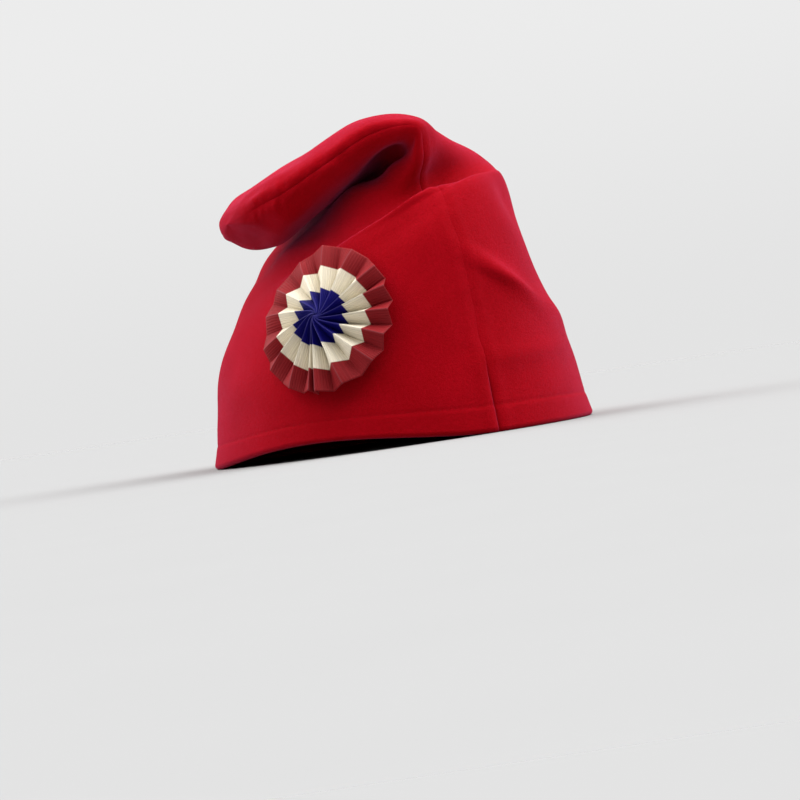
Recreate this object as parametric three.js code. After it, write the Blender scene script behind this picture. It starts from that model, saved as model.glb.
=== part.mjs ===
// A soft felt cap with a flopped tip, and a rosette pleated from one striped ribbon.
// The felt is two panels, sewn together along the front and the back. The tip falls to the wearer's right,
// and the rosette is sewn to the wearer's right of the front.
// Millimetres, +Z up. The face side is -Y, the wearer's left is +X, and the rim lies on z = 0.
import * as THREE from 'three';

// Felt
const FELT_THICKNESS = 2;
const HEM_THICKNESS = 4;
const HEM_HEIGHT = 12;
const HEM_END = 2;
const SEAM_GAP = 0.3;

// Four lines carry the felt from the rim to the tip: one up each side and one up each seam.
// A row is one section of the cap, where all four lines are cut. The side lines lie in y = 0.
const SECTION_COLUMNS = [
  'leftX', 'leftZ', 'rightX', 'rightZ', 'seamX', 'frontY', 'frontZ', 'backY', 'backZ',
];
const SECTION_ROWS = [
  [86.5, 0, -89.5, 0, 0, -97, 0, 97, 0], // rim
  [82.5, 20, -87, 20, 0, -94.5, 22, 94.5, 22],
  [78.3, 42, -83.5, 40, 0, -91, 45, 91, 44],
  [67, 68, -75.5, 60, 0, -87.2, 70, 86, 70],
  [63.3, 95, -63.5, 77, 0, -82, 94, 80.5, 94],
  [61.5, 118, -47, 93, 0, -75, 111.5, 75.5, 112], // ridge across the front, shoulder on the left
  [54, 131.5, -18, 113.5, 0, -62.5, 115, 71.5, 121.5], // dent above the ridge
  [36.5, 139, 0.5, 125, 0, -64.3, 129.5, 68, 129.5], // crease on the right, where the tip folds over
  [12, 147, -1.5, 126.5, -3, -66, 140, 63.5, 136.5], // crest of the fold
  [-12, 148.5, -14, 120.5, -21, -58, 139.5, 57, 133],
  [-34, 139.2, -34, 109.5, -42, -49, 129, 48, 125],
  [-53, 130, -51.5, 99.5, -58, -38, 120, 37, 117],
  [-64.5, 124, -61.5, 104, -67, -27, 116, 26, 112.5],
  [-71.5, 118.5, -69, 108, -72, -15.5, 113, 15, 111],
  [-74, 112, -74, 112, -74, 0, 112, 0, 112], // tip
];
const TIP_ROW = SECTION_ROWS.length - 1;

// Round the cap, 0 degrees is the front seam, 90 the wearer's left and 270 the wearer's right.
// Past the crease the flattened tip keeps fuller edges than an ellipse would have.
const TIP_FULLNESS = 0.35;
const TIP_FULL_FROM_ROW = 6;
const TIP_FULL_BY_ROW = 8;

// Folds and dents: how far the felt stands out (or in, if negative) at a place on the cap, how far that
// spreads, and how many rows its crest climbs for each degree round the cap.
const FOLD_COLUMNS = ['row', 'degrees', 'rise', 'rowSpread', 'degreeSpread', 'climb'];
const FOLD_ROWS = [
  [4.3, 352, 2.8, 0.5, 28, 0.006], // swell below the ridge across the front
  [5.9, 5, -2, 0.5, 38, 0], // dent above the ridge
  [5.9, 298, 4.5, 0.6, 28, 0], // slope on the right, which the tip lies on
  [5.1, 277, 3, 0.5, 18, 0],
  [6.8, 316, 3.2, 0.5, 15, 0], // lip of the pocket
  [8.2, 309, -5, 0.7, 17, 0], // pocket beside the crest
  [2.85, 16, 1.9, 0.22, 13, -0.038], // slanting fold left of the front seam
  [2.26, 44, 1.4, 0.25, 19, -0.012], // the same fold, flatter towards the side
  [4.35, 40, -2, 0.55, 8, 0], // groove below the left shoulder
  [5.8, 58, 1.5, 0.7, 24, 0], // left shoulder
  [7.8, 48, -1, 0.5, 25, 0], // dip between the crest and the left shoulder
  [10.6, 70, -1.2, 0.45, 40, 0], // dip along the top of the tip
  [1.5, 20, 0.8, 0.2, 20, 0.004], // slack in the lower wall
  [1.6, 300, 1.2, 0.8, 16, 0],
  [3.4, 335, -1.2, 1, 10, 0.01],
  [3.6, 235, -2.2, 0.9, 16, 0.01], // loose folds round the back
  [3, 205, 1.8, 1.1, 12, -0.01],
  [3.4, 140, -2, 1, 16, -0.01],
  [4.6, 165, 1.6, 0.7, 16, 0.01],
  [0, 80, 1.8, 0.4, 22, 0], // the rim flares a little on both sides
  [0, 256, 1.8, 0.4, 16, 0],
];

// The rim is flat apart from an arch over the wearer's right temple.
const ARCH_RISE = 7.3;
const ARCH_DEGREES = 306;
const ARCH_HALF_WIDTH = 57;
const ARCH_ROWS = 2.6;
const LEVEL_ROWS = 0.6;

// How finely each panel is cut into facets
const PANEL_STEPS_UP = 36;
const PANEL_STEPS_ROUND = 24;
const DIFFERENCE_STEP = 1e-3;

// Rosette: one ribbon in pleats that open like a fan round its gathered edge. The two faces of a pleat keep
// their width, so the pleats stand higher towards the middle, and there the valleys rise to meet the ridges.
const RIBBON_WIDTH = 33;
const RIBBON_THICKNESS = 1.6;
const PLEAT_COUNT = 16;
const PLEAT_FACE = 7.7;
const PLEAT_FULL_RADIUS = 22;
const MIDDLE_RISE = 1.2;
const MIDDLE_RADIUS = 12;
const SWIRL_RADIUS = 2.4;
const POINTS_PER_PLEAT = 4;
const RING_RADII = [RIBBON_WIDTH, 28, 23, 17.5, 12, 7.5, 3.5, 0];
const ROSETTE_BEND_RADIUS = 200;
const ROSETTE_ROW = 2.77;
const ROSETTE_DEGREES = 313;
const ROSETTE_GAP = 0.5;

// Finishes
const FELT_RED = 0xa00c18;
const FELT_ROUGHNESS = 0.95;
const RIBBON_RED = 0x8e1f28;
const RIBBON_WHITE = 0xe6e0c8;
const RIBBON_BLUE = 0x1a1080;
const RIBBON_ROUGHNESS = 0.6;
const BLUE_TO_RADIUS = 13;
const WHITE_TO_RADIUS = 23.1;

const named = (columns, rows) => rows.map(
  (row) => Object.fromEntries(columns.map((column, k) => [column, row[k]])),
);
const sections = named(SECTION_COLUMNS, SECTION_ROWS);
const folds = named(FOLD_COLUMNS, FOLD_ROWS);

const rail = (point) => new THREE.CatmullRomCurve3(sections.map(point), false, 'catmullrom');
const leftRail = rail((s) => new THREE.Vector3(s.leftX, 0, s.leftZ));
const rightRail = rail((s) => new THREE.Vector3(s.rightX, 0, s.rightZ));
const frontRail = rail((s) => new THREE.Vector3(s.seamX, s.frontY, s.frontZ));
const backRail = rail((s) => new THREE.Vector3(s.seamX, s.backY, s.backZ));

const { degToRad, radToDeg, euclideanModulo, smoothstep, clamp, lerp } = THREE.MathUtils;
const degreesBetween = (a, b) => euclideanModulo(a - b + 180, 360) - 180;
const bump = (offset, spread) => Math.exp(-((offset / spread) ** 2));

// The section at a row is the closed curve through its four rail points, turned by angle from the front:
// their mean, a cosine from back to front, a sine from right to left, and a double cosine that bends it.
function plainPoint(row, angle) {
  const t = clamp(row / TIP_ROW, 0, 1);
  const left = leftRail.getPoint(t);
  const right = rightRail.getPoint(t);
  const front = frontRail.getPoint(t);
  const back = backRail.getPoint(t);
  const fullness = TIP_FULLNESS * smoothstep(row, TIP_FULL_FROM_ROW, TIP_FULL_BY_ROW);
  const across = Math.sin(angle) * (1 + fullness * Math.cos(angle) ** 2);
  const along = Math.cos(angle);
  const bend = Math.cos(2 * angle);
  return new THREE.Vector3()
    .addScaledVector(front, 0.25 + along / 2 + bend / 4)
    .addScaledVector(back, 0.25 - along / 2 + bend / 4)
    .addScaledVector(left, 0.25 + across / 2 - bend / 4)
    .addScaledVector(right, 0.25 - across / 2 - bend / 4);
}

// Outward normal of a surface, kept level near the rim so that the rim stays flat.
function outward(surface, row, angle) {
  const up = surface(row + DIFFERENCE_STEP, angle).sub(surface(row - DIFFERENCE_STEP, angle));
  const round = surface(row, angle + DIFFERENCE_STEP).sub(surface(row, angle - DIFFERENCE_STEP));
  const normal = round.cross(up).normalize();
  normal.z *= smoothstep(row, 0, LEVEL_ROWS);
  return normal.normalize();
}

function foldRise(row, angle) {
  return folds.reduce((rise, fold) => {
    const round = degreesBetween(radToDeg(angle), fold.degrees);
    const along = row - fold.row - fold.climb * round;
    return rise + fold.rise * bump(along, fold.rowSpread) * bump(round, fold.degreeSpread);
  }, 0);
}

function archRise(row, angle) {
  const side = Math.abs(degreesBetween(radToDeg(angle), ARCH_DEGREES)) / ARCH_HALF_WIDTH;
  const profile = Math.cos(Math.min(side, 1) * Math.PI / 2) ** 2;
  return ARCH_RISE * profile * Math.max(0, 1 - row / ARCH_ROWS) ** 2;
}

// Outer face of the felt
function feltPoint(row, angle) {
  const point = plainPoint(row, angle);
  point.addScaledVector(outward(plainPoint, row, angle), foldRise(row, angle));
  point.z += archRise(row, angle);
  return point;
}

// A sheet with two faces, as rows of points from its free edge inwards. A last row of one point is a pole.
// A closed sheet runs all the way round, and an open one has two more edges.
function sheetGeometry(outside, inside, closed) {
  const positions = [];
  const index = [];
  const place = (rows) => rows.map((row) => row.map((point) => {
    positions.push(point.x, point.y, point.z);
    return positions.length / 3 - 1;
  }));
  const outer = place(outside);
  const inner = place(inside);
  const columns = outer[0].length;
  const spans = closed ? columns : columns - 1;
  const at = (row, column) => (row.length === 1 ? row[0] : row[column % columns]);
  const triangle = (a, b, c) => {
    if (a !== b && b !== c && c !== a) index.push(a, b, c);
  };
  const quad = (a, b, c, d) => {
    triangle(a, b, c);
    triangle(a, c, d);
  };
  for (let i = 0; i + 1 < outer.length; i += 1) {
    for (let j = 0; j < spans; j += 1) {
      quad(at(outer[i], j), at(outer[i], j + 1), at(outer[i + 1], j + 1), at(outer[i + 1], j));
      quad(at(inner[i], j), at(inner[i + 1], j), at(inner[i + 1], j + 1), at(inner[i], j + 1));
    }
    if (!closed) {
      quad(at(outer[i], 0), at(outer[i + 1], 0), at(inner[i + 1], 0), at(inner[i], 0));
      quad(at(outer[i + 1], spans), at(outer[i], spans), at(inner[i], spans), at(inner[i + 1], spans));
    }
  }
  for (let j = 0; j < spans; j += 1) {
    quad(at(outer[0], j + 1), at(outer[0], j), at(inner[0], j), at(inner[0], j + 1));
  }
  const geometry = new THREE.BufferGeometry();
  geometry.setAttribute('position', new THREE.Float32BufferAttribute(positions, 3));
  geometry.setIndex(index);
  geometry.computeVertexNormals();
  return geometry;
}

const rowsPerMillimetre = 1 / sections[1].frontZ;
const hemTopRow = HEM_HEIGHT * rowsPerMillimetre;
const hemEndRow = (HEM_HEIGHT + HEM_END) * rowsPerMillimetre;

// Doubled in the turned-in hem, single above it
function feltThickness(row) {
  return lerp(HEM_THICKNESS, FELT_THICKNESS, clamp((row - hemTopRow) / (hemEndRow - hemTopRow), 0, 1));
}

// Rows at which a panel is cut: close together through the hem, then evenly up to just short of the tip.
function panelRows() {
  const rows = [0, hemTopRow / 2, hemTopRow];
  for (let k = 0; k < PANEL_STEPS_UP; k += 1) rows.push(lerp(hemEndRow, TIP_ROW, k / PANEL_STEPS_UP));
  return rows;
}

// From the right line to the left line at a row: square to the seams
function acrossSeam(row) {
  const t = row / TIP_ROW;
  return leftRail.getPoint(t).sub(rightRail.getPoint(t)).normalize();
}

// One panel, from one seam round to the other. Each panel stands half a seam gap off the seam, and the
// felt's thickness along a seam is laid in the plane of that seam.
function panelGeometry(startAngle, side) {
  const rows = panelRows();
  const angles = Array.from({ length: PANEL_STEPS_ROUND + 1 }, (_, k) => (
    startAngle + Math.PI * k / PANEL_STEPS_ROUND));
  const outside = [];
  const inside = [];
  rows.forEach((row) => {
    const across = acrossSeam(row);
    const outer = angles.map((angle) => feltPoint(row, angle).addScaledVector(across, side * SEAM_GAP / 2));
    const inner = outer.map((point, k) => {
      const normal = outward(feltPoint, row, angles[k]);
      const onSeam = k === 0 || k === PANEL_STEPS_ROUND;
      if (onSeam) normal.projectOnPlane(across).normalize();
      return point.clone().addScaledVector(normal, -feltThickness(row));
    });
    outside.push(outer);
    inside.push(inner);
  });
  const lastRow = rows[rows.length - 1];
  const across = acrossSeam(lastRow);
  const middle = plainPoint(lastRow, 0).add(plainPoint(lastRow, Math.PI)).multiplyScalar(0.5);
  const tip = plainPoint(TIP_ROW, 0);
  const outOfTip = tip.clone().sub(middle).projectOnPlane(across).normalize();
  tip.addScaledVector(across, side * SEAM_GAP / 2);
  outside.push([tip]);
  inside.push([tip.clone().addScaledVector(outOfTip, -FELT_THICKNESS)]);
  return sheetGeometry(outside, inside, false);
}

// A point of the ribbon: radius from the middle, and turn in pleats from a ridge. The folds don't point at
// the middle but touch a small circle round it, and the whole rosette bends with the wall behind it.
function rosettePoint(radius, turn, lift) {
  const swirl = Math.atan2(SWIRL_RADIUS, radius);
  const angle = 2 * Math.PI * turn / PLEAT_COUNT - swirl;
  const x = radius * Math.cos(angle);
  const y = radius * Math.sin(angle);
  const halfPitch = Math.PI * radius / PLEAT_COUNT;
  const dome = MIDDLE_RISE * (1 - smoothstep(radius, 0, MIDDLE_RADIUS));
  const ridge = Math.sqrt(PLEAT_FACE ** 2 - halfPitch ** 2) + dome;
  const valley = ridge * (1 - smoothstep(radius, 0, PLEAT_FULL_RADIUS));
  const height = lerp(valley, ridge, Math.abs(2 * euclideanModulo(turn, 1) - 1));
  return new THREE.Vector3(x, y, height - x * x / (2 * ROSETTE_BEND_RADIUS) + lift);
}

function rosetteGeometry() {
  const columns = PLEAT_COUNT * POINTS_PER_PLEAT;
  const ring = (radius, lift) => Array.from({ length: radius > 0 ? columns : 1 }, (_, k) => (
    rosettePoint(radius, k / POINTS_PER_PLEAT, lift)));
  const front = RING_RADII.map((radius) => ring(radius, RIBBON_THICKNESS));
  const back = RING_RADII.map((radius) => ring(radius, 0));
  const geometry = sheetGeometry(front, back, true);
  const stripe = (radius) => {
    if (radius < BLUE_TO_RADIUS) return RIBBON_BLUE;
    return radius < WHITE_TO_RADIUS ? RIBBON_WHITE : RIBBON_RED;
  };
  const colours = [...front, ...back].flat().flatMap((point) => (
    new THREE.Color(stripe(Math.hypot(point.x, point.y))).toArray()));
  geometry.setAttribute('color', new THREE.Float32BufferAttribute(colours, 3));
  return geometry;
}

function feltPanel(name, startAngle, side) {
  const material = new THREE.MeshStandardMaterial({ color: FELT_RED, roughness: FELT_ROUGHNESS });
  const panel = new THREE.Mesh(panelGeometry(startAngle, side), material);
  panel.name = name;
  return panel;
}

// The rosette lies on the felt, its own Z along the felt's normal.
function rosette() {
  const material = new THREE.MeshStandardMaterial({ vertexColors: true, roughness: RIBBON_ROUGHNESS });
  const mesh = new THREE.Mesh(rosetteGeometry(), material);
  mesh.name = 'cockade';
  const angle = degToRad(ROSETTE_DEGREES);
  const normal = outward(feltPoint, ROSETTE_ROW, angle);
  const level = new THREE.Vector3(0, 0, 1).cross(normal).normalize();
  const upWall = normal.clone().cross(level);
  const seat = new THREE.Group();
  seat.quaternion.setFromRotationMatrix(new THREE.Matrix4().makeBasis(level, upWall, normal));
  seat.position.copy(feltPoint(ROSETTE_ROW, angle)).addScaledVector(normal, ROSETTE_GAP);
  seat.add(mesh);
  return seat;
}

const cap = new THREE.Group();
cap.name = 'phrygian_cap';
cap.add(feltPanel('left_panel', 0, 1));
cap.add(feltPanel('right_panel', Math.PI, -1));
cap.add(rosette());

export default cap;
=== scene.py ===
# %% [markdown]
# # A felt cap with a flopped tip and a ribbon cockade
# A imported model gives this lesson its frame: two felt walls and a rosette, at their real size, in metres.
# The pieces made here stand for those plain solids, in the same places, and add what coarse solids can't
# show: sharp creases, sewing, slack and thin ribbon. Lengths are in millimetres where nothing else is said.
# Felt and ribbon could be sculpted by hand or simulated, but both follow plain rules of cutting, sewing and
# folding, so here they are grids of points that numpy works out from a few tables and formulas.

# %% Load the frame
import math

import bmesh
import bpy
import numpy as np
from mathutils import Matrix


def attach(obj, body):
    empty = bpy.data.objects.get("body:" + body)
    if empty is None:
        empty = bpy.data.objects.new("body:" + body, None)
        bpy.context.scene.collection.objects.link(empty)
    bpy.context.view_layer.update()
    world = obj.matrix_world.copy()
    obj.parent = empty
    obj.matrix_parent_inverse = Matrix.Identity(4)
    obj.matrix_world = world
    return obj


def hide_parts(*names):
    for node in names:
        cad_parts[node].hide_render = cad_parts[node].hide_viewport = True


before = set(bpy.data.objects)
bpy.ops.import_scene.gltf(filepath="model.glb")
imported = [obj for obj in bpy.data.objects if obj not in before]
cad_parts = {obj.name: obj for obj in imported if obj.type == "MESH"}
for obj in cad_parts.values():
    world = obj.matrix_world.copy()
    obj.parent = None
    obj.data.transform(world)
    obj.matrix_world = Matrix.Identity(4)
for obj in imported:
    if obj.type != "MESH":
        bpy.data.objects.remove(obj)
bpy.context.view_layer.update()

MM = 0.001
print("pieces of the model:", sorted(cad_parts))

# %% [markdown]
# ## From arrays to a mesh
# Blender takes a mesh as a list of points and a list of faces. On a grid nobody has to type that list: each
# cell is one four-cornered face, and its corners' numbers follow from its row and its column. Points that
# fall together, at a tip or where a ring closes, are welded afterwards, so the mesh has no open slit.

# %% Meshes from grids
WELD_DISTANCE = 1e-6  # metres


def grid_faces(rows, columns):
    """Corner numbers of each cell of a grid whose points are counted row by row.

    A face points along (step to the next column) x (step to the next row).
    """
    corner = np.arange(rows * columns).reshape(rows, columns)
    cells = [corner[:-1, :-1], corner[:-1, 1:], corner[1:, 1:], corner[1:, :-1]]
    return np.stack(cells, axis=-1).reshape(-1, 4)


def add_piece(name, points, faces, flat=None):
    """One piece from points and faces.

    flat, where it is given, is each point's place on the flat cloth, and becomes a UV map.
    """
    mesh = bpy.data.meshes.new(name)
    mesh.from_pydata((points * MM).tolist(), [], faces)
    if flat is not None:
        corner = np.empty(len(mesh.loops), dtype=np.int32)
        mesh.loops.foreach_get("vertex_index", corner)
        mesh.uv_layers.new(name="cloth").data.foreach_set("uv", flat[corner].astype(np.float32).ravel())
    work = bmesh.new()
    work.from_mesh(mesh)
    bmesh.ops.remove_doubles(work, verts=work.verts, dist=WELD_DISTANCE)
    work.to_mesh(mesh)
    work.free()
    mesh.polygons.foreach_set("use_smooth", np.ones(len(mesh.polygons), dtype=bool))
    piece = bpy.data.objects.new(name, mesh)
    bpy.context.scene.collection.objects.link(piece)
    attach(piece, "root")
    print(name, "has", len(mesh.vertices), "points and", len(mesh.polygons), "faces")
    return piece


def unit(vectors):
    """The same directions, one long."""
    return vectors / np.linalg.norm(vectors, axis=-1, keepdims=True)


# %% [markdown]
# ## The form of the felt
# The cap is two mirror-image panels of felt, sewn together up the front and up the back. Worn or set down,
# the empty tip falls to the wearer's right. Four lines describe that form: one up each side and one up each
# seam, from the rim to the tip. A row of the table is one section, where all four lines are cut. Between
# the rows a spline carries them on, so a few sections give the whole cap.

# %% Sections from the rim to the tip
SECTION_COLUMNS = (
    "left_x", "left_z", "right_x", "right_z", "seam_x", "front_y", "front_z", "back_y", "back_z")
SECTIONS = np.array([
    [86.5, 0, -89.5, 0, 0, -97, 0, 97, 0],  # rim
    [82.5, 20, -87, 20, 0, -94.5, 22, 94.5, 22],
    [78.3, 42, -83.5, 40, 0, -91, 45, 91, 44],
    [67, 68, -75.5, 60, 0, -87.2, 70, 86, 70],
    [63.3, 95, -63.5, 77, 0, -82, 94, 80.5, 94],
    [61.5, 118, -47, 93, 0, -75, 111.5, 75.5, 112],  # ridge across the front, shoulder on the left
    [54, 131.5, -18, 113.5, 0, -62.5, 115, 71.5, 121.5],  # dent above the ridge
    [36.5, 139, 0.5, 125, 0, -64.3, 129.5, 68, 129.5],  # crease on the right, where the tip folds over
    [12, 147, -1.5, 126.5, -3, -66, 140, 63.5, 136.5],  # crest of the fold
    [-12, 148.5, -14, 120.5, -21, -58, 139.5, 57, 133],
    [-34, 139.2, -34, 109.5, -42, -49, 129, 48, 125],
    [-53, 130, -51.5, 99.5, -58, -38, 120, 37, 117],
    [-64.5, 124, -61.5, 104, -67, -27, 116, 26, 112.5],
    [-71.5, 118.5, -69, 108, -72, -15.5, 113, 15, 111],
    [-74, 112, -74, 112, -74, 0, 112, 0, 112],  # tip
])
TIP_ROW = len(SECTIONS) - 1
TIP_CLOSES_OVER = 0.03  # rows between the last ring of points and the tip's one point
LAST_ROW = TIP_ROW - TIP_CLOSES_OVER
RIM_ROW_HEIGHT = 22  # from the rim to the next section, up the front


def section_at(row):
    """The table's columns at a row, whole or not: a uniform Catmull-Rom spline through the sections."""
    before = 2 * SECTIONS[:1] - SECTIONS[1:2]
    after = 2 * SECTIONS[-1:] - SECTIONS[-2:-1]
    knots = np.vstack([before, SECTIONS, after])
    row = np.clip(row, 0, TIP_ROW)
    first = np.clip(np.floor(row).astype(int), 0, TIP_ROW - 1)
    t = (row - first)[..., None]
    p0, p1, p2, p3 = (knots[first + k] for k in range(4))
    bends = t**2 * (2 * p0 - 5 * p1 + 4 * p2 - p3) + t**3 * (3 * p1 - p0 - 3 * p2 + p3)
    return p1 + (t * (p2 - p0) + bends) / 2


def line_points(row):
    """The left, right, front and back points of the section at a row."""
    column = dict(zip(SECTION_COLUMNS, np.moveaxis(section_at(row), -1, 0)))
    middle = np.zeros_like(column["seam_x"])
    left = np.stack([column["left_x"], middle, column["left_z"]], axis=-1)
    right = np.stack([column["right_x"], middle, column["right_z"]], axis=-1)
    front = np.stack([column["seam_x"], column["front_y"], column["front_z"]], axis=-1)
    back = np.stack([column["seam_x"], column["back_y"], column["back_z"]], axis=-1)
    return left, right, front, back


print(len(SECTIONS), "sections; the tip ends at", SECTIONS[-1, :2].tolist(), "mm in x and z")

# %% [markdown]
# Round the cap, 0 degrees is the front seam, 90 the wearer's left and 270 the wearer's right. A section is
# the closed curve through its four points: their mean, a cosine from back to front, a sine from right to
# left, and a double cosine that bends the section like a saddle. The flat tip keeps fuller edges.

# %% A smooth surface through the sections
TIP_FULLNESS = 0.35
TIP_FULL_FROM_ROW = 6
TIP_FULL_BY_ROW = 8
LEVEL_ROWS = 0.6
DIFFERENCE_STEP = 1e-3
RIDGE_ROW = 5.0


def smoothstep(value, start, end):
    """0 up to start, 1 from end on, and the S-shaped cubic 3t^2 - 2t^3 between."""
    t = np.clip((value - start) / (end - start), 0, 1)
    return t * t * (3 - 2 * t)


def plain_point(row, angle):
    """mean + (front - back)/2 cos + (left - right)/2 sin + (front + back - left - right)/4 cos 2."""
    left, right, front, back = line_points(row)
    fullness = TIP_FULLNESS * smoothstep(row, TIP_FULL_FROM_ROW, TIP_FULL_BY_ROW)
    along = np.cos(angle)[..., None]
    across = (np.sin(angle) * (1 + fullness * np.cos(angle) ** 2))[..., None]
    bend = np.cos(2 * angle)[..., None]
    mean = (front + back + left + right) / 4
    saddle = (front + back - left - right) / 4
    return mean + (front - back) / 2 * along + (left - right) / 2 * across + saddle * bend


def outward(surface, row, angle):
    """Unit normal of a surface: (step round) x (step up), kept level near the rim, so the rim stays flat."""
    up = surface(row + DIFFERENCE_STEP, angle) - surface(row - DIFFERENCE_STEP, angle)
    around = surface(row, angle + DIFFERENCE_STEP) - surface(row, angle - DIFFERENCE_STEP)
    normal = unit(np.cross(around, up))
    normal[..., 2] *= smoothstep(row, 0, LEVEL_ROWS)
    return unit(normal)


def degrees_between(angle, degrees):
    """How far an angle lies past a number of degrees, from -180 to 180."""
    return (np.degrees(angle) - degrees + 180) % 360 - 180


ridge = plain_point(np.array([RIDGE_ROW]), np.array([0.0]))[0]
print("the seam crosses the ridge at", np.round(ridge, 1).tolist())

# %% [markdown]
# ## Folds and dents
# Felt that falls over makes a few large folds: a ridge across the front with a dent above it, a pocket
# beside the crest, slanting folds on the sides. Each is one hump or hollow in the table: where it is, how
# far it stands out, how far it spreads, and how many rows its crest climbs for each degree round the cap.
# The creases are the same thing, but too sharp for the model's coarse facets, so only this mesh has them.
# The rim is arched on the wearer's right, towards the front.

# %% Large folds
FOLD_COLUMNS = ("row", "degrees", "rise", "row_spread", "degree_spread", "climb", "spread_above")
FOLDS = np.array([  # these spread as far above their crest as below, so they leave out the last column
    [4.3, 352, 2.8, 0.5, 28, 0.006],  # swell below the ridge across the front
    [5.9, 5, -2, 0.5, 38, 0],  # dent above the ridge
    [5.9, 298, 4.5, 0.6, 28, 0],  # slope on the right, which the tip lies on
    [5.1, 277, 3, 0.5, 18, 0],
    [6.8, 316, 3.2, 0.5, 15, 0],  # lip of the pocket
    [8.2, 309, -5, 0.7, 17, 0],  # pocket beside the crest
    [2.85, 16, 1.9, 0.22, 13, -0.038],  # slanting fold left of the front seam
    [2.26, 44, 1.4, 0.25, 19, -0.012],  # the same fold, flatter towards the side
    [4.35, 40, -2, 0.55, 8, 0],  # groove below the left shoulder
    [5.8, 58, 1.5, 0.7, 24, 0],  # left shoulder
    [7.8, 48, -1, 0.5, 25, 0],  # dip between the crest and the left shoulder
    [10.6, 70, -1.2, 0.45, 40, 0],  # dip along the top of the tip
    [1.5, 20, 0.8, 0.2, 20, 0.004],  # slack in the lower wall
    [1.6, 300, 1.2, 0.8, 16, 0],
    [3.4, 335, -1.2, 1, 10, 0.01],
    [3.6, 235, -2.2, 0.9, 16, 0.01],  # loose folds round the back
    [3, 205, 1.8, 1.1, 12, -0.01],
    [3.4, 140, -2, 1, 16, -0.01],
    [4.6, 165, 1.6, 0.7, 16, 0.01],
    [0, 80, 1.8, 0.4, 22, 0],  # the rim flares a little on both sides
    [0, 256, 1.8, 0.4, 16, 0],
])
CREASES = np.array([
    [5.28, 336, -8, 0.15, 34, 0.017, 0.75],  # the felt drops behind the ridge, right of the seam
    [5.5, 22, -6.5, 0.15, 24, -0.006, 0.75],  # and left of it
    [4.3, 352, -2.8, 0.5, 28, 0.006, 0.5],  # the wall rolls over towards the ridge
    [4.95, 352, -3.6, 0.95, 34, 0.012, 0.28],
    [5.95, 300, 5, 0.5, 24, 0, 0.5],  # the slope rises close under the tip
    [8.5, 312, -2.3, 0.7, 15, 0, 0.8],  # bottom of the pocket
    [2.78, 17, 1.5, 0.06, 11, -0.027, 0.28],  # sharp edge of the slanting fold
])
ARCH_RISE = 7.3
ARCH_DEGREES = 306
ARCH_HALF_WIDTH = 57
ARCH_ROWS = 2.6


def bump(offset, spread):
    """A bell of height 1: exp(-(offset/spread)^2)."""
    return np.exp(-((offset / spread) ** 2))


def fold_rise(row, angle, folds):
    """How far folds stand out of the felt: the sum of their bells, each along its own slanting crest."""
    rise = np.zeros_like(row)
    for values in folds:
        fold = dict(zip(FOLD_COLUMNS, values))
        around = degrees_between(angle, fold["degrees"])
        along = row - fold["row"] - fold["climb"] * around
        spread = np.where(along > 0, fold.get("spread_above", fold["row_spread"]), fold["row_spread"])
        rise += fold["rise"] * bump(along, spread) * bump(around, fold["degree_spread"])
    return rise


def arch_rise(row, angle):
    """How far the rim's arch lifts the felt: a squared cosine round the cap, fading up the wall."""
    side = np.clip(np.abs(degrees_between(angle, ARCH_DEGREES)) / ARCH_HALF_WIDTH, 0, 1)
    return ARCH_RISE * np.cos(side * np.pi / 2) ** 2 * np.clip(1 - row / ARCH_ROWS, 0, 1) ** 2


def felt_point(row, angle):
    """Outer face of the model's felt: the plain form, moved out by the folds and up by the arch."""
    rise = fold_rise(row, angle, FOLDS)
    point = plain_point(row, angle) + outward(plain_point, row, angle) * rise[..., None]
    point[..., 2] += arch_rise(row, angle)
    return point


SAMPLE_ROWS = 60
SAMPLE_TURNS = 90
sample_rows = np.linspace(0, LAST_ROW, SAMPLE_ROWS)
sample_turns = np.linspace(0, 2 * np.pi, SAMPLE_TURNS)
sample = felt_point(*np.meshgrid(sample_rows, sample_turns, indexing="ij"))
print("felt spans in mm:", np.round(np.ptp(sample.reshape(-1, 3), axis=0), 1).tolist())

# %% [markdown]
# ## What sewing does to felt
# A plain seam pulls both panels into a narrow groove with a soft roll on each side, and where the cloth is
# eased along the thread it puckers, most of all on the tip. The hem is turned in and stitched, so it stands
# a little proud below its line of stitches. Between all this, soft felt is never quite flat. These marks
# are a millimetre or less, so they are laid over the large form as a height along its normal.

# %% Seams, puckers, hem and slack
SEAM_DEPTH = 0.5
SEAM_WIDTH = 0.9
SEAM_TIGHTNESS = (  # rows, and the share of the depth there
    (0.9, 1.5, 2.2, 4.6, 6, 7.2, 8, 9.5),
    (2, 0.6, 0.25, 0.25, 0.9, 0.7, 0.25, 1.3))
SEAM_WANDER = 0.5
SEAM_WANDER_LENGTHS = (2.3, 1.1, 0.7)  # rows from one swing of the seam to the next
SEAM_WANDER_FADES = (0.5, 1.5), (6, 8)  # rows above the rim and below the tip where it starts and is full
SEAM_ROLL = 0.25
SEAM_ROLL_AT = 4
SEAM_ROLL_WIDTH = 2.6
PUCKER_RISE = 0.12
TIP_PUCKER_RISE = 0.8
TIP_PUCKER_ROWS = (8, 10)
PUCKER_REACH = 6
PUCKER_LENGTHS = (6.1, 9.7, 15.3)
PUCKER_STAGGER = 2  # how far the puckers of both panels are out of step
SEWING_FADE = (0.6, 3)  # rows below the tip where seams start and are full
ROW_LENGTH = 19  # felt from one section to the next, on average
MEAN_RADIUS = 75  # from the middle of the cap to its walls, on average
HEM_HEIGHT = 12
HEM_PROUD = 0.16
HEM_PROUD_OVER = 2.4
STITCH_LINE_DEPTH = 0.14
STITCH_LINE_WIDTH = 0.9
SLACK_RISE = 0.4
SLACK_WAVES = 16
SLACK_TURNS = (3, 13)
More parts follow.
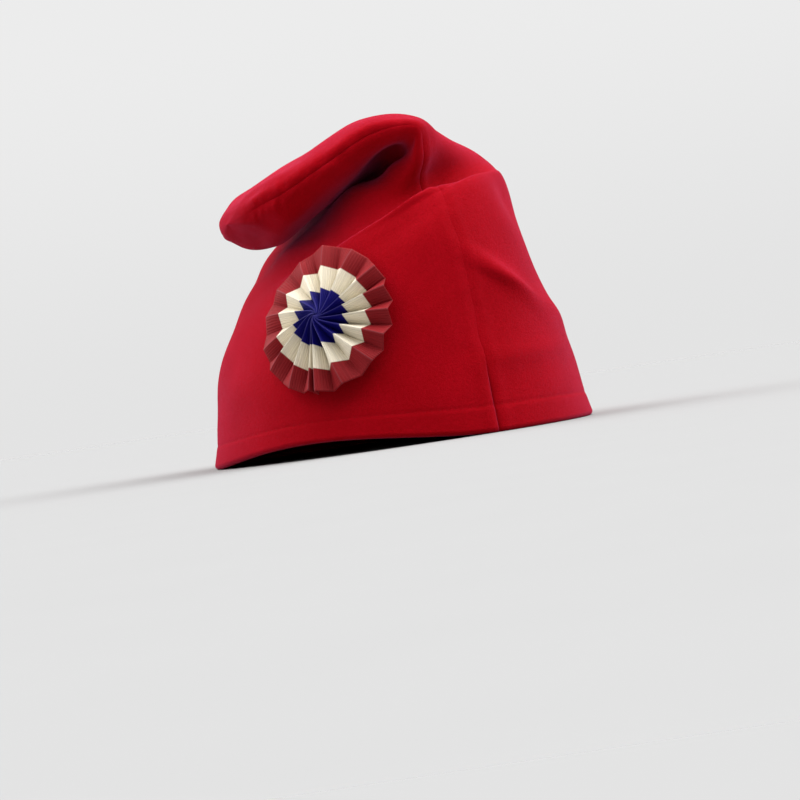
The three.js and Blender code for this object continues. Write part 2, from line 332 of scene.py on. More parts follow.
SLACK_CLIMB = 4.0
SLACK_FADES = (0.2, 1.4), (0.2, 4)  # rows above the rim and below the tip where slack starts and is full
SLACK_SEED = 17

draw = np.random.default_rng(SLACK_SEED)
slack_turns = draw.integers(*SLACK_TURNS, SLACK_WAVES)
slack_climb = draw.uniform(-SLACK_CLIMB, SLACK_CLIMB, SLACK_WAVES)
slack_start = draw.uniform(0, 2 * np.pi, SLACK_WAVES)


def fade_at_ends(row, from_rim, from_tip):
    """0 at rim and tip, 1 between: a smooth step up from the rim times one down to the tip."""
    return smoothstep(row, *from_rim) * smoothstep(TIP_ROW - row, *from_tip)


def slack_rise(row, angle):
    """Unevenness of loose felt: the sum of a few waves that run round and up the cap, none at rim or tip."""
    waves = sum(np.cos(turns * angle + climb * row + start)
                for turns, climb, start in zip(slack_turns, slack_climb, slack_start))
    return SLACK_RISE * waves / math.sqrt(SLACK_WAVES) * fade_at_ends(row, *SLACK_FADES)


def seam_wander(row):
    """How far a hand-fed seam strays from its line, as an angle: the mean of a few sine waves."""
    waves = sum(np.sin(2 * np.pi * row / length) for length in SEAM_WANDER_LENGTHS)
    swing = SEAM_WANDER * waves / len(SEAM_WANDER_LENGTHS)
    return swing / MEAN_RADIUS * fade_at_ends(row, *SEAM_WANDER_FADES)


def sewing_rise(row, angle):
    """Height of the sewn marks: a groove and rolls along each seam, puckers beside it, and the hem."""
    around = plain_point(row, angle + DIFFERENCE_STEP) - plain_point(row, angle - DIFFERENCE_STEP)
    length_per_radian = np.linalg.norm(around, axis=-1) / (2 * DIFFERENCE_STEP)
    turn = (angle - seam_wander(row) + np.pi / 2) % np.pi - np.pi / 2
    signed = turn * length_per_radian
    distance = np.abs(signed)
    groove = -SEAM_DEPTH * np.interp(row, *SEAM_TIGHTNESS) * np.exp(-distance / SEAM_WIDTH)
    roll = SEAM_ROLL * bump(distance - SEAM_ROLL_AT, SEAM_ROLL_WIDTH)
    along = row * ROW_LENGTH + np.sign(signed) * PUCKER_STAGGER
    ripple = sum(np.sin(2 * np.pi * along / length) for length in PUCKER_LENGTHS) / len(PUCKER_LENGTHS)
    puckering = PUCKER_RISE + (TIP_PUCKER_RISE - PUCKER_RISE) * smoothstep(row, *TIP_PUCKER_ROWS)
    fullness = np.clip(distance / SEAM_ROLL_WIDTH, 0, 1)
    puckers = puckering * ripple * bump(distance, PUCKER_REACH) * fullness
    height = row * RIM_ROW_HEIGHT
    hem = HEM_PROUD * (1 - smoothstep(height, HEM_HEIGHT - HEM_PROUD_OVER, HEM_HEIGHT))
    stitch_line = -STITCH_LINE_DEPTH * bump(height - HEM_HEIGHT, STITCH_LINE_WIDTH)
    fade_at_tip = smoothstep(TIP_ROW - row, *SEWING_FADE)
    return (groove + roll + puckers) * fade_at_tip + hem + stitch_line


def finished_felt(row, angle):
    """Outer face of the sewn felt: the model's face, moved along its normal by creases, slack and sewing."""
    rise = fold_rise(row, angle, CREASES) + slack_rise(row, angle) + sewing_rise(row, angle)
    return felt_point(row, angle) + outward(felt_point, row, angle) * rise[..., None]


print("the deepest seam groove is", SEAM_DEPTH * max(SEAM_TIGHTNESS[1]), "mm")

# %% [markdown]
# ## The two panels
# Each panel is one sheet of felt, 2 mm thick. It could be a single face with a Solidify modifier, but a hem
# is felt folded back on itself, so the sheet is followed all the way: down its inner face from the tip,
# round the fold at the rim, and up its outer face to the tip again. The two cut edges at the seams are then
# closed by walls. Columns crowd together near the seams, where the groove needs them.

# %% Panels as folded sheets
FELT_THICKNESS = 2
HEM_THICKNESS = 4
HEM_END = 2
SEAM_GAP = 0.01
PANEL_COLUMNS = 150
SEAM_CROWDING = 0.86
HEM_STEPS = 34
HEM_STEPS_TO = 16
WALL_STEPS = 220
FOLD_STEPS = 9
THIN_TIP_ROWS = 0.7
POLE_THICKNESS = 0.2
SHARP_DEGREES = 50  # faces that meet at more than this are shaded apart, which keeps the cut edges crisp

hem_rows = np.linspace(HEM_THICKNESS / 2, HEM_STEPS_TO, HEM_STEPS, endpoint=False) / RIM_ROW_HEIGHT
panel_rows = np.concatenate([hem_rows, np.linspace(HEM_STEPS_TO / RIM_ROW_HEIGHT, LAST_ROW, WALL_STEPS)])
share = np.linspace(0, 1, PANEL_COLUMNS)
panel_turn = np.pi * (share - SEAM_CROWDING * np.sin(2 * np.pi * share) / (2 * np.pi))


def felt_thickness(row):
    """Doubled in the hem, single above it, and pared away in the very tip."""
    hem_end = (HEM_HEIGHT + HEM_END) / RIM_ROW_HEIGHT
    doubled = 1 - smoothstep(row, HEM_HEIGHT / RIM_ROW_HEIGHT, hem_end)
    single = FELT_THICKNESS * smoothstep(TIP_ROW - row, 0, THIN_TIP_ROWS)
    return single + (HEM_THICKNESS - FELT_THICKNESS) * doubled


def panel_sheet(start_angle, side):
    """Points of one panel, row by row: down the inner face, round the hem's fold, and up the outer face."""
    row, angle = np.meshgrid(panel_rows, start_angle + panel_turn, indexing="ij")
    angle = angle + seam_wander(row)
    left, right, _, _ = line_points(row)
    across = unit(left - right)
    inward = -outward(felt_point, row, angle)
    seams = [0, -1]
    sideways = np.sum(inward[:, seams] * across[:, seams], axis=-1, keepdims=True)
    inward[:, seams] = unit(inward[:, seams] - sideways * across[:, seams])
    shift = side * SEAM_GAP / 2 * across
    outer = finished_felt(row, angle) + shift
    depth = felt_thickness(row) - fold_rise(row, angle, CREASES)
    inner = felt_point(row, angle) + inward * depth[..., None] + shift

    turn = np.linspace(np.pi, 0, FOLD_STEPS)[1:-1, None, None]
    middle = (outer[0] + inner[0]) / 2
    fold = middle + (outer[0] - middle) * np.cos(turn)
    fold[..., 2] -= HEM_THICKNESS / 2 * np.sin(turn[..., 0])

    tip = plain_point(np.array([TIP_ROW]), np.array([0.0])) + shift[-1, :1]
    pole = np.repeat(tip[None], PANEL_COLUMNS, axis=1)
    inner_pole = pole + inward[-1:, :1] * POLE_THICKNESS
    sheet = np.concatenate([inner_pole, inner[::-1], fold, outer, pole])
    sheet[..., 2] = np.maximum(sheet[..., 2], 0)
    return sheet


def cut_edge(rows, columns, column):
    """Faces of the cut edge in one column: each joins a step of the outer face to the same step inside."""
    middle = rows // 2
    outer = np.arange(middle, rows - 1)
    inner = rows - 1 - outer
    corners = np.stack([outer, outer + 1, inner - 1, inner], axis=-1)
    fold_corner = np.array([middle, middle + 1, middle - 1])
    if column != 0:
        corners = corners[:, ::-1]
        fold_corner = fold_corner[::-1]
    return (corners[1:] * columns + column).tolist() + [(fold_corner * columns + column).tolist()]


def felt_panel(name, start_angle, side):
    """One panel of felt from a seam round to the other."""
    sheet = panel_sheet(start_angle, side)
    rows, columns = sheet.shape[:2]
    faces = grid_faces(rows, columns).tolist()
    faces += cut_edge(rows, columns, 0) + cut_edge(rows, columns, columns - 1)
    panel = add_piece(name, sheet.reshape(-1, 3), faces)
    panel.data.set_sharp_from_angle(angle=math.radians(SHARP_DEGREES))
    return panel


left_felt = felt_panel("left_felt", 0.0, 1)
right_felt = felt_panel("right_felt", np.pi, -1)
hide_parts("left_panel")
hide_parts("right_panel")

# %% [markdown]
# A panel is cut flat before it is sewn: half the rim wide, and as long as the way from the rim over the
# crest to the tip, with the hem's turning added. It narrows in a curve to the tip, so it covers little more
# than half of that rectangle. Its area is listed, and the mesh's own area is printed.

# %% The felt as flat cloth
LEFT_AREA = 0.049  # square metres
RIGHT_AREA = 0.044
for panel, area in ((left_felt, LEFT_AREA), (right_felt, RIGHT_AREA)):
    surface = sum(face.area for face in panel.data.polygons)
    print(panel.name, "is", round(surface / 2, 4), "square metres of felt")

# %% [markdown]
# ## Stitches of the hem
# A line of thread holds the turned-in hem, 12 mm above the rim. Each stitch is a small bead of thread, sunk
# so deep that it hardly shows. It could be a bump in the material, but a stitch catches light on its own
# side, so it is a grain-shaped mesh, repeated along the line as one array.

# %% Hem stitches
STITCH_LENGTH = 2.2
STITCH_PITCH = 3.4
STITCH_WIDTH = 0.5
STITCH_SINK = 0.21
STITCH_ENDS = 7
STITCH_SIDES = 8
RIM_SAMPLES = 721


def stitch_line(name, row, angle):
    """Grains of thread on the felt: centre + tangent L/2 cos p + (side cos q + normal sin q) W/2 sin p."""
    normal = outward(felt_point, row, angle)
    centre = finished_felt(row, angle) - normal * STITCH_SINK
    ahead = finished_felt(row, angle + DIFFERENCE_STEP)
    tangent = unit(ahead - finished_felt(row, angle - DIFFERENCE_STEP))
    axes = np.stack([tangent, np.cross(normal, tangent), normal], axis=1)
    ends = np.linspace(np.pi, 0, STITCH_ENDS)  # from the back end to the front, so that faces point outwards
    sides = np.linspace(0, 2 * np.pi, STITCH_SIDES + 1)
    p, q = np.meshgrid(ends, sides, indexing="ij")
    thick = np.sin(p) * STITCH_WIDTH / 2
    grain = np.stack([np.cos(p) * STITCH_LENGTH / 2, np.cos(q) * thick, np.sin(q) * thick], axis=-1)
    grains = centre[:, None, None] + np.einsum("pqk,ckx->cpqx", grain, axes)
    one = grid_faces(STITCH_ENDS, STITCH_SIDES + 1)
    faces = one + grain[..., 0].size * np.arange(len(row))[:, None, None]
    return add_piece(name, grains.reshape(-1, 3), faces.reshape(-1, 4).tolist())


hem_row = HEM_HEIGHT / RIM_ROW_HEIGHT
rim_turns = np.linspace(0, 2 * np.pi, RIM_SAMPLES)
rim_points = felt_point(np.full(RIM_SAMPLES, hem_row), rim_turns)
rim_length = np.concatenate([[0], np.cumsum(np.linalg.norm(np.diff(rim_points, axis=0), axis=-1))])
stitch_at = np.arange(STITCH_PITCH, rim_length[-1] - STITCH_PITCH, STITCH_PITCH)
stitch_angles = np.interp(stitch_at, rim_length, rim_turns)
hem_stitches = stitch_line("hem_stitches", np.full(len(stitch_at), hem_row), stitch_angles)
print("the hem is", round(rim_length[-1]), "mm round, with", len(stitch_at), "stitches")

# %% [markdown]
# ## Colours and nodes
# Colours are picked as sRGB hex values, as on a screen, but a renderer adds light linearly, so one function
# turns them. Another adds a node with its settings and its links, and every material is built with it.

# %% Helpers for materials
def linear(hex_colour):
    """sRGB hex to linear red, green, blue and alpha: c/12.92, or ((c + 0.055)/1.055)^2.4 above 0.04045."""
    srgb = np.array([int(hex_colour[k:k + 2], 16) for k in (1, 3, 5)]) / 255
    rgb = np.where(srgb <= 0.04045, srgb / 12.92, ((srgb + 0.055) / 1.055) ** 2.4)
    return (*rgb.tolist(), 1.0)


print("middle grey #808080 is", round(linear("#808080")[0], 3), "as linear light")


def add_node(material, kind, inputs=None, **settings):
    """Adds a node: settings are its own properties, inputs its sockets, each a value or an output to link."""
    tree = material.node_tree
    node = tree.nodes.new(kind)
    for name, value in settings.items():
        setattr(node, name, value)
    for name, value in (inputs or {}).items():
        if isinstance(value, bpy.types.NodeSocket):
            tree.links.new(value, node.inputs[name])
        else:
            node.inputs[name].default_value = value
    return node


def new_material(name):
    """An empty node material."""
    material = bpy.data.materials.new(name)
    material.use_nodes = True
    material.node_tree.nodes.clear()
    return material


# %% [markdown]
# ## Wool felt
# Felt is wool fibres matted by heat and rubbing, dyed in the piece and brushed to a short nap. It scatters
# light in all directions and hardly shines, but the nap's fibre ends catch light along the edges, which
# shows as a pale bloom. Up close the surface is cloudy: tufts of about a millimetre lie at random.

# %% Felt material
FELT_DEEP = "#8e0007"
FELT_BRIGHT = "#9c0210"
FELT_BLOOM = "#ff7ec0"
FELT_TONES = (1.15, 1.85)  # the sum of the noises where the felt is deepest, and where it is brightest
TUFT_SIZE = 1.3
FIBRE_SIZE = 0.5
CLOUD_SIZE = 22
NAP_HEIGHT = 0.35


def wool_felt():
    """Red felt: cloudy colour, tufted nap as a bump, and sheen for the bloom."""
    material = new_material("wool_felt")
    place = add_node(material, "ShaderNodeTexCoord").outputs["Object"]
    tufts = add_node(material, "ShaderNodeTexNoise", {
        "Vector": place, "Scale": 1 / (TUFT_SIZE * MM), "Detail": 3.0, "Roughness": 0.6})
    fibres = add_node(material, "ShaderNodeTexNoise", {
        "Vector": place, "Scale": 1 / (FIBRE_SIZE * MM), "Detail": 2.0, "Distortion": 1.5})
    clouds = add_node(material, "ShaderNodeTexNoise", {
        "Vector": place, "Scale": 1 / (CLOUD_SIZE * MM), "Detail": 4.0, "Roughness": 0.55})
    nap = add_node(material, "ShaderNodeMath", {
        0: tufts.outputs["Fac"], 1: fibres.outputs["Fac"]}, operation="ADD")
    mixing = add_node(material, "ShaderNodeMath", {
        0: clouds.outputs["Fac"], 1: nap.outputs[0]}, operation="ADD")
    tone = add_node(material, "ShaderNodeMapRange", {
        "Value": mixing.outputs[0], "From Min": FELT_TONES[0], "From Max": FELT_TONES[1]})
    colour = add_node(material, "ShaderNodeMix", {
        "Factor": tone.outputs["Result"], "A": linear(FELT_DEEP), "B": linear(FELT_BRIGHT)}, data_type="RGBA")
    relief = add_node(material, "ShaderNodeBump", {
        "Height": nap.outputs[0], "Distance": NAP_HEIGHT * MM, "Strength": 0.6})
    shader = add_node(material, "ShaderNodeBsdfPrincipled", {
        "Base Color": colour.outputs["Result"], "Roughness": 0.95, "Specular IOR Level": 0.04,
        "Sheen Weight": 0.2, "Sheen Roughness": 0.4, "Sheen Tint": linear(FELT_BLOOM),
        "Normal": relief.outputs["Normal"]})
    add_node(material, "ShaderNodeOutputMaterial", {"Surface": shader.outputs["BSDF"]})
    return material


felt = wool_felt()
for piece in (left_felt, right_felt):
    piece.data.materials.append(felt)
print("felt tufts are", TUFT_SIZE, "mm wide")

# %% [markdown]
# ## Sewing thread
# The hem is sewn with spun thread dyed to match. Spun thread is a little smoother and darker than the nap
# around it, and its twist shows as fine slanting ridges.

# %% Thread material
THREAD_RED = "#7e020a"
THREAD_TWIST = 2.76  # from ridge to ridge along x + y + z, wider than real, since finer ones would not show
TWIST_HEIGHT = 0.1
BAND_RADIANS = 10  # how far a diagonal wave texture turns for each unit of x + y + z


def sewing_thread():
    """Dark red thread with a slanting twist."""
    material = new_material("sewing_thread")
    place = add_node(material, "ShaderNodeTexCoord").outputs["Object"]
    twist = add_node(material, "ShaderNodeTexWave", {
        "Vector": place, "Scale": 2 * math.pi / (BAND_RADIANS * THREAD_TWIST * MM), "Distortion": 1.0},
        wave_type="BANDS", bands_direction="DIAGONAL")
    relief = add_node(material, "ShaderNodeBump", {
        "Height": twist.outputs["Fac"], "Distance": TWIST_HEIGHT * MM, "Strength": 0.5})
    shader = add_node(material, "ShaderNodeBsdfPrincipled", {
        "Base Color": linear(THREAD_RED), "Roughness": 0.8, "Specular IOR Level": 0.1, "Sheen Weight": 0.1,
        "Normal": relief.outputs["Normal"]})
    add_node(material, "ShaderNodeOutputMaterial", {"Surface": shader.outputs["BSDF"]})
    return material


hem_stitches.data.materials.append(sewing_thread())
print("the thread's ridges are", THREAD_TWIST, "mm apart")

# %% [markdown]
# ## The cockade
# One striped ribbon, 33 mm wide, is folded to and fro into sixteen pleats, its blue edge is drawn together
# and its ends are joined, so the pleats open like a fan. Ribbon can't stretch: a pleat's two faces keep their
# width, so where the pleats stand close together they must stand tall. That gives the height of the folds at
# each radius by Pythagoras. Folded by hand, the pleats are uneven, so the table gives each ridge its own
# angle and reach; two ridges lie close together where the ends meet. Drawn tight, the folds don't point at
# the centre: they touch a small circle round it, which makes the swirl. The wall under the rosette curves
# both ways, but a stiff rosette bends only one way, as paper does, and stands off a little above and below.

# %% Pleated ribbon
RIBBON_WIDTH = 33
RIBBON_THICKNESS = 0.4
PLEAT_FACE = 7.7
PLEAT_COLUMNS = ("degrees", "reach")
PLEATS = np.array([
    [5, -1.6],
    [25, -1.2],
    [44.5, -0.3],
    [70, 0.5],
    [95, 1.5],
    [118.5, -1],
    [148, -0.6],
    [171, 0],
    [198, 0.4],
    [219, 0.1],
    [245, 0.4],
    [267, 0.2],  # one end of the ribbon
    [273, 0.9],  # the other end
    [293.5, 0],
    [322, -0.6],
    [344, -1.4],
])
SWIRL_RADIUS = 2.4
VALLEY_HEIGHT = 0.3
LEAST_RIDGE = 2.2
MIDDLE_RISE = 1.2
MIDDLE_SPREAD = 9
PLEAT_FULL_RADIUS = 15
INNER_RADIUS = 0.4
FOLD_SHARPNESS = 0.985
STEPS_ACROSS_PLEAT = 24
STEPS_ALONG_WIDTH = 46
UNEVEN_HEIGHT = 0.08
PLEAT_SEED = 5
SEAT_ROW = 2.75
SEAT_DEGREES = 312.2
SEAT_GAP = 1.0
SEAT_ROWS = (0.4, 5)  # the part of the wall that is looked at for the rosette's bend
SEAT_HALF_TURN = 0.5  # radians of it to each side
SEAT_SAMPLES = 80
FOLLOWS_WALL = np.array([0.75, 0.0])  # shares of the wall's bend that a stiff rosette takes on, level and up


def seat():
    """Where the rosette is sewn on: a point of the wall, and directions level, up the wall and out of it."""
    row = np.array([SEAT_ROW])
    angle = np.array([math.radians(SEAT_DEGREES)])
    normal = outward(felt_point, row, angle)[0]
    level = unit(np.cross([0, 0, 1], normal))
    return felt_point(row, angle)[0], np.stack([level, np.cross(normal, level), normal])


def squares(x, y):
    """The terms x^2 and y^2 of a surface that bends both ways."""
    return np.stack([x * x, y * y], axis=-1)


def bend_of_wall():
    """The factors a and b of the height a x^2 + b y^2 that lies closest to the wall under the rosette."""
    origin, axes = seat()
    rows = np.linspace(*SEAT_ROWS, SEAT_SAMPLES)
    turns = math.radians(SEAT_DEGREES) + np.linspace(-SEAT_HALF_TURN, SEAT_HALF_TURN, SEAT_SAMPLES)
    wall = felt_point(*np.meshgrid(rows, turns, indexing="ij"))
    x, y, height = ((wall - origin).reshape(-1, 3) @ axes.T).T
    under = np.hypot(x, y) < RIBBON_WIDTH
    return np.linalg.lstsq(squares(x, y)[under], height[under], rcond=None)[0]


wall_bend = bend_of_wall()
print("the wall falls", np.round(-wall_bend * RIBBON_WIDTH**2, 1).tolist(), "mm away at the rosette's edge")


def fold_line(radius, turn, height, reach):
    """A fold as points: its angle at a radius is turn - atan(swirl/radius), so it misses the centre."""
    angle = turn - np.arctan2(SWIRL_RADIUS, radius)
    stretched = radius * (1 + reach / RIBBON_WIDTH * smoothstep(radius, 0, RIBBON_WIDTH))
    x = stretched * np.cos(angle)
    y = stretched * np.sin(angle)
    return np.stack([x, y, height + squares(x, y) @ (FOLLOWS_WALL * wall_bend)], axis=-1)


def pleated_ribbon():
    """Points of the ribbon and their places on it: (1 - w) valley + w ridge, with w a rounded zigzag."""
    dice = np.random.default_rng(PLEAT_SEED)
    radius = np.linspace(INNER_RADIUS, RIBBON_WIDTH, STEPS_ALONG_WIDTH)[None, :]
    pleat = dict(zip(PLEAT_COLUMNS, PLEATS.T[..., None]))
    ridge_turn = np.radians(pleat["degrees"])
    half_gap = (np.roll(ridge_turn, -1, axis=0) - ridge_turn) % (2 * np.pi) / 2
    half_pitch = (half_gap + np.roll(half_gap, 1, axis=0)) / 2 * radius
    uneven = 1 + UNEVEN_HEIGHT * dice.uniform(-1, 1, ridge_turn.shape)
    ridge_height = np.sqrt(np.maximum(PLEAT_FACE**2 - half_pitch**2, LEAST_RIDGE**2)) * uneven
    ridge_height += VALLEY_HEIGHT + MIDDLE_RISE * bump(radius, MIDDLE_SPREAD)
    depth = smoothstep(radius, 0, PLEAT_FULL_RADIUS)
    next_height = np.roll(ridge_height, -1, axis=0)
    valley_height = VALLEY_HEIGHT * depth + np.minimum(ridge_height, next_height) * (1 - depth)
    valley_reach = (pleat["reach"] + np.roll(pleat["reach"], -1, axis=0)) / 2
    ridges = fold_line(radius, ridge_turn, ridge_height, pleat["reach"])
    valleys = fold_line(radius, ridge_turn + half_gap, valley_height, valley_reach)

    step = np.arange(STEPS_ACROSS_PLEAT) / STEPS_ACROSS_PLEAT
    zigzag = np.arcsin(FOLD_SHARPNESS * np.cos(2 * np.pi * step)) / np.arcsin(FOLD_SHARPNESS)
    weight = ((1 + zigzag) / 2)[None, :, None, None]
    first_half = (step < 0.5)[None, :, None, None]
    nearer = np.where(first_half, ridges[:, None], np.roll(ridges, -1, axis=0)[:, None])
    points = (weight * nearer + (1 - weight) * valleys[:, None]).reshape(-1, STEPS_ALONG_WIDTH, 3)
    points = np.concatenate([points, points[:1]])
    along = np.arange(len(points)) / STEPS_ACROSS_PLEAT
    across = radius[0] / RIBBON_WIDTH
    flat = np.stack(np.broadcast_arrays(along[:, None], across[None, :]), axis=-1)
    return points, flat


def on_the_wall(points):
    """Moves points from the rosette's own frame to its seat: x level, y up the wall, z along the normal."""
    origin, axes = seat()
    return origin + axes[2] * SEAT_GAP + points @ axes


ribbon_points, ribbon_flat = pleated_ribbon()
ribbon_faces = grid_faces(*ribbon_points.shape[:2])[:, ::-1].tolist()
cockade = add_piece("cockade_ribbon", on_the_wall(ribbon_points).reshape(-1, 3), ribbon_faces,
                    ribbon_flat.reshape(-1, 2))
wall = cockade.modifiers.new("ribbon thickness", "SOLIDIFY")
wall.thickness = RIBBON_THICKNESS * MM
wall.offset = 0
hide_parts("cockade")

# %% [markdown]
# ## Grosgrain ribbon
# Grosgrain is woven with thick crosswise threads, so fine ribs run across the ribbon, here outwards like
# spokes. The three stripes are woven in. A thin pale line is painted along each pressed fold. It is a painted
# highlight where the fold's edge catches light. The ribs are under a millimetre apart on a real ribbon and
# are drawn a little wider here, because finer ones would not show.

# %% Ribbon material
RIBBON_RED = "#851b20"
RIBBON_WHITE = "#e4dbc6"
RIBBON_BLUE = "#0f0a66"
BLUE_TO = 0.39  # shares of the ribbon's width
WHITE_TO = 0.70
STRIPE_EDGE = 0.006
RIB_PITCH = 1.1
RIB_HEIGHT = 0.12
HALF_PLEAT = 0.5
FOLD_LINE = 0.04  # share of a pleat, to each side of its ridge
# painted highlight along each fold: its pale colour, and how much of it is mixed in at the ridge
FOLD_HIGHLIGHT_PALE = "#ecdcea"
FOLD_HIGHLIGHT_SHARE = 0.045
STREAK_SCALE = 0.7
STREAK_NOISE = (0.3, 0.7)
STREAK_SHADE = (0.82, 1.12)


def grosgrain_ribbon():
    """Woven stripes by the place across the ribbon, ribs by the place along it, painted highlights on the
    folds.
    """
    material = new_material("grosgrain_ribbon")
    cloth = add_node(material, "ShaderNodeUVMap", uv_map="cloth")
    split = add_node(material, "ShaderNodeSeparateXYZ", {0: cloth.outputs["UV"]})
    along, across = split.outputs["X"], split.outputs["Y"]
    stripes = linear(RIBBON_BLUE)
    for edge, colour in ((BLUE_TO, RIBBON_WHITE), (WHITE_TO, RIBBON_RED)):
        past = add_node(material, "ShaderNodeMapRange", {
            "Value": across, "From Min": edge - STRIPE_EDGE, "From Max": edge + STRIPE_EDGE})
        mix = add_node(material, "ShaderNodeMix", {
            "Factor": past.outputs["Result"], "A": stripes, "B": linear(colour)}, data_type="RGBA")
        stripes = mix.outputs["Result"]
    ribs_per_pleat = 2 * PLEAT_FACE / RIB_PITCH
    phase = add_node(material, "ShaderNodeMath", {
        0: along, 1: 2 * math.pi * ribs_per_pleat}, operation="MULTIPLY")
    rib = add_node(material, "ShaderNodeMath", {0: phase.outputs[0]}, operation="SINE")
    place = add_node(material, "ShaderNodeCombineXYZ", {
        "X": phase.outputs[0], "Y": across})
    streaks = add_node(material, "ShaderNodeTexNoise", {
        "Vector": place.outputs[0], "Scale": STREAK_SCALE, "Detail": 2.0})
    shade = add_node(material, "ShaderNodeMapRange", {
        "Value": streaks.outputs["Fac"], "From Min": STREAK_NOISE[0], "From Max": STREAK_NOISE[1],
        "To Min": STREAK_SHADE[0], "To Max": STREAK_SHADE[1]})
    woven = add_node(material, "ShaderNodeMix", {
        "Factor": 1.0, "A": stripes, "B": shade.outputs["Result"]}, data_type="RGBA", blend_type="MULTIPLY")
    # painted highlight: a thin pale line mixed in along each ridge fold, where the fold's edge catches light
    to_ridge = add_node(material, "ShaderNodeMath", {0: along, 1: HALF_PLEAT}, operation="PINGPONG")
    painted_highlight = add_node(material, "ShaderNodeMapRange", {
        "Value": to_ridge.outputs[0], "From Min": 0.0, "From Max": FOLD_LINE,
        "To Min": FOLD_HIGHLIGHT_SHARE, "To Max": 0.0})
    colour = add_node(material, "ShaderNodeMix", {
        "Factor": painted_highlight.outputs["Result"], "A": woven.outputs["Result"], "B": linear(FOLD_HIGHLIGHT_PALE)},
        data_type="RGBA", clamp_result=True)
    relief = add_node(material, "ShaderNodeBump", {
        "Height": rib.outputs[0], "Distance": RIB_HEIGHT * MM, "Strength": 0.5})
    shader = add_node(material, "ShaderNodeBsdfPrincipled", {
        "Base Color": colour.outputs["Result"], "Roughness": 0.6, "Specular IOR Level": 0.1,
        "Normal": relief.outputs["Normal"]})
    add_node(material, "ShaderNodeOutputMaterial", {"Surface": shader.outputs["BSDF"]})
    return material


cockade.data.materials.append(grosgrain_ribbon())
print("the blue stripe is", round(BLUE_TO * RIBBON_WIDTH, 1), "mm wide, with a rib every", RIB_PITCH, "mm")

# %% [markdown]
# ## Studio
# A pale floor reaches so far that its edge can't be told from the wall behind it, if both are equally bright
# there. The wall is the sky of the scene: it grows brighter upwards, and it is dark behind the camera, as a
# room is. Soft light comes from above and from a wide window on each side, as three suns with wide discs,
# because a sun lights the whole floor evenly. So the floor's grey can be worked out: pi x (brightness of the
# wall at the floor) / (light that falls on the floor from the sky and the suns).

# %% Light that falls on the floor
WALL_LOW, WALL_HIGH = 0.77, 0.84  # brightness of the wall at the floor, and further up
WALL_RISES_TO = 0.22  # the z of a direction from which the wall is at its brightest
ROOM_SHARE = 0.16  # how bright the dark side of the room is, as a share of the wall
ROOM_FROM, ROOM_TO = -0.25, -0.8  # the y of a direction where the dark side starts, and where it is darkest
SUNS = {
    "ceiling": dict(towards=(-0.04, -0.08, 1.0), light=1.6, disc=80),  # disc is its width in degrees
    "right_window": dict(towards=(0.58, -0.27, 0.77), light=3.9, disc=60),
    "left_window": dict(towards=(-0.58, 0.4, 0.65), light=2.6, disc=60),
}
SKY_SAMPLES = 200


def sky_light():
    """Light from the sky on a level floor: pi x the mean brightness of directions, spread by their cosine."""
    steps = (np.arange(SKY_SAMPLES) + 0.5) / SKY_SAMPLES
    level, turn = np.meshgrid(np.sqrt(steps), 2 * np.pi * steps)
    up = np.sqrt(1 - level**2)
    wall_now = WALL_LOW + (WALL_HIGH - WALL_LOW) * smoothstep(up, 0, WALL_RISES_TO)
    lit = ROOM_SHARE + (1 - ROOM_SHARE) * smoothstep(level * np.cos(turn), ROOM_TO, ROOM_FROM)
    return np.pi * np.mean(wall_now * lit)


sun_light = sum(sun["light"] * unit(np.array(sun["towards"]))[2] for sun in SUNS.values())
floor_grey = np.pi * WALL_LOW / (sky_light() + sun_light)
print("light on the floor:", round(sky_light(), 2), "of sky and", round(sun_light, 2), "of suns")
print("so the floor's grey is", round(floor_grey, 3))

# %% [markdown]
# ## Floor
# The floor is matt paper. A studio would bend it up behind the object. Here it is one flat square instead, so
# large that it ends at the horizon, where it is as bright as the wall.

# %% Floor
FLOOR_HALF = 60  # metres
MOTTLE_SIZE = 30
MOTTLE = 0.01


def matt_floor():
    """Pale matt floor, with a mottling too faint to see on its own."""
    material = new_material("matt_floor")
    place = add_node(material, "ShaderNodeTexCoord").outputs["Object"]
    clouds = add_node(material, "ShaderNodeTexNoise", {"Vector": place, "Scale": 1 / (MOTTLE_SIZE * MM)})
    grey = add_node(material, "ShaderNodeMapRange", {
        "Value": clouds.outputs["Fac"],
        "To Min": floor_grey * (1 - MOTTLE), "To Max": floor_grey * (1 + MOTTLE)})
    shader = add_node(material, "ShaderNodeBsdfDiffuse", {"Color": grey.outputs["Result"]})
    add_node(material, "ShaderNodeOutputMaterial", {"Surface": shader.outputs["BSDF"]})
    return material


floor_mesh = bpy.data.meshes.new("floor")
corners = [(-1, -1, 0), (1, -1, 0), (1, 1, 0), (-1, 1, 0)]
floor_mesh.from_pydata((np.array(corners) * FLOOR_HALF).tolist(), [], [(0, 1, 2, 3)])
floor_mesh.materials.append(matt_floor())
floor = bpy.data.objects.new("floor", floor_mesh)
bpy.context.scene.collection.objects.link(floor)
print("the floor is", 2 * FLOOR_HALF, "m wide")


# %% [markdown]
# ## Sky and suns
# The walls' light is painted on the sky as a function of direction. The windows could be area lamps, but
# those light the near floor more than the far floor. A sun lights all of it alike, and its wide disc still
# gives soft shadows.

# %% Sky and suns
def aim_along(obj, towards):
    """Turns an object so that its own Z points towards the light, and its -Z shines away from there."""
    x, y, z = unit(np.array(towards))
    obj.rotation_euler = (math.acos(z), 0, math.atan2(x, -y))


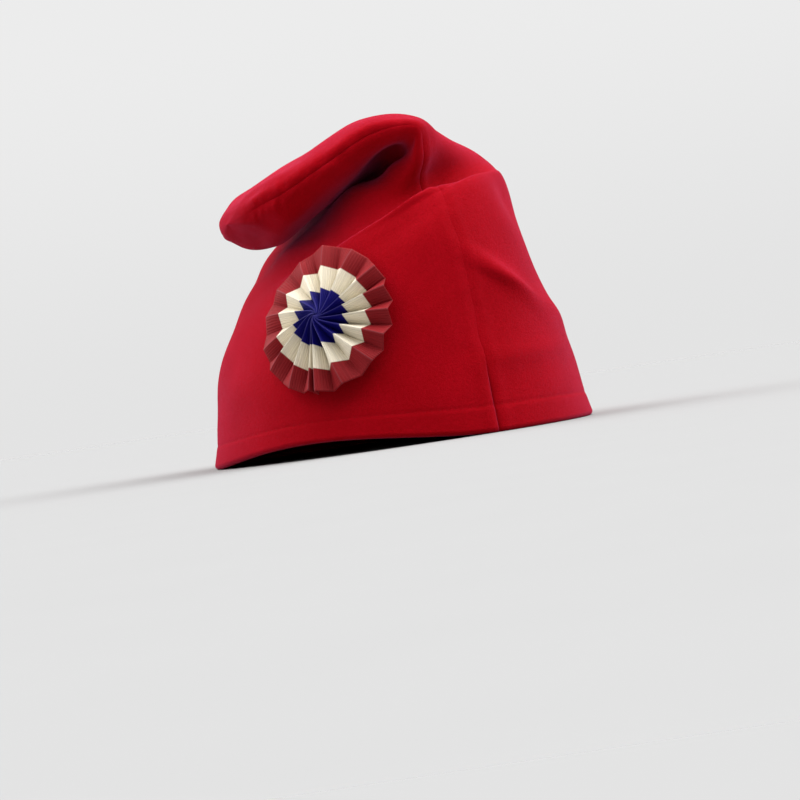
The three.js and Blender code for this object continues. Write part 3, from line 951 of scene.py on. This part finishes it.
sky = bpy.data.worlds.new("pale_room")
sky.use_nodes = True
sky.node_tree.nodes.clear()
direction = add_node(sky, "ShaderNodeTexCoord").outputs["Object"]
towards = add_node(sky, "ShaderNodeSeparateXYZ", {0: direction}).outputs
rising = add_node(sky, "ShaderNodeMapRange", {
    "Value": towards["Z"], "From Min": 0.0, "From Max": WALL_RISES_TO,
    "To Min": WALL_LOW, "To Max": WALL_HIGH}, interpolation_type="SMOOTHSTEP")
lit_side = add_node(sky, "ShaderNodeMapRange", {
    "Value": towards["Y"], "From Min": ROOM_TO, "From Max": ROOM_FROM,
    "To Min": ROOM_SHARE, "To Max": 1.0}, interpolation_type="SMOOTHSTEP")
brightness = add_node(sky, "ShaderNodeMath", {
    0: rising.outputs["Result"], 1: lit_side.outputs["Result"]}, operation="MULTIPLY")
wall_light = add_node(sky, "ShaderNodeBackground", {
    "Color": (1.0, 1.0, 1.0, 1.0), "Strength": brightness.outputs[0]})
add_node(sky, "ShaderNodeOutputWorld", {"Surface": wall_light.outputs["Background"]})
bpy.context.scene.world = sky
for name, sun in SUNS.items():
    lamp = bpy.data.lights.new(name, "SUN")
    lamp.energy = sun["light"]
    lamp.angle = math.radians(sun["disc"])
    holder = bpy.data.objects.new(name, lamp)
    aim_along(holder, sun["towards"])
    bpy.context.scene.collection.objects.link(holder)
bpy.context.scene.view_settings.view_transform = "Standard"
print(len(SUNS), "suns and the sky light the cap")

# %% [markdown]
# ## Camera
# The view is from low in front of the wearer's right, a long lens at under a metre. The camera is tilted a
# few degrees about its own axis, as a hand-held one often is.

# %% Camera at the photograph's angle
VIEW_AZIMUTH = math.radians(-25)
VIEW_TILT = math.radians(8.5)
VIEW_DISTANCE = 0.9  # metres, like the height
VIEW_HEIGHT = 0.02
FOCAL_LENGTH = 84.6
SENSOR_WIDTH = 36.0

eye = bpy.data.cameras.new("view")
eye.lens = FOCAL_LENGTH
eye.sensor_width = SENSOR_WIDTH
camera = bpy.data.objects.new("view", eye)
view_x = VIEW_DISTANCE * math.sin(VIEW_AZIMUTH)
view_y = -VIEW_DISTANCE * math.cos(VIEW_AZIMUTH)
camera.location = (view_x, view_y, VIEW_HEIGHT)
camera.rotation_euler = (math.pi / 2, VIEW_TILT, VIEW_AZIMUTH)
bpy.context.scene.collection.objects.link(camera)
bpy.context.scene.camera = camera
print("the camera stands", VIEW_DISTANCE, "m away")
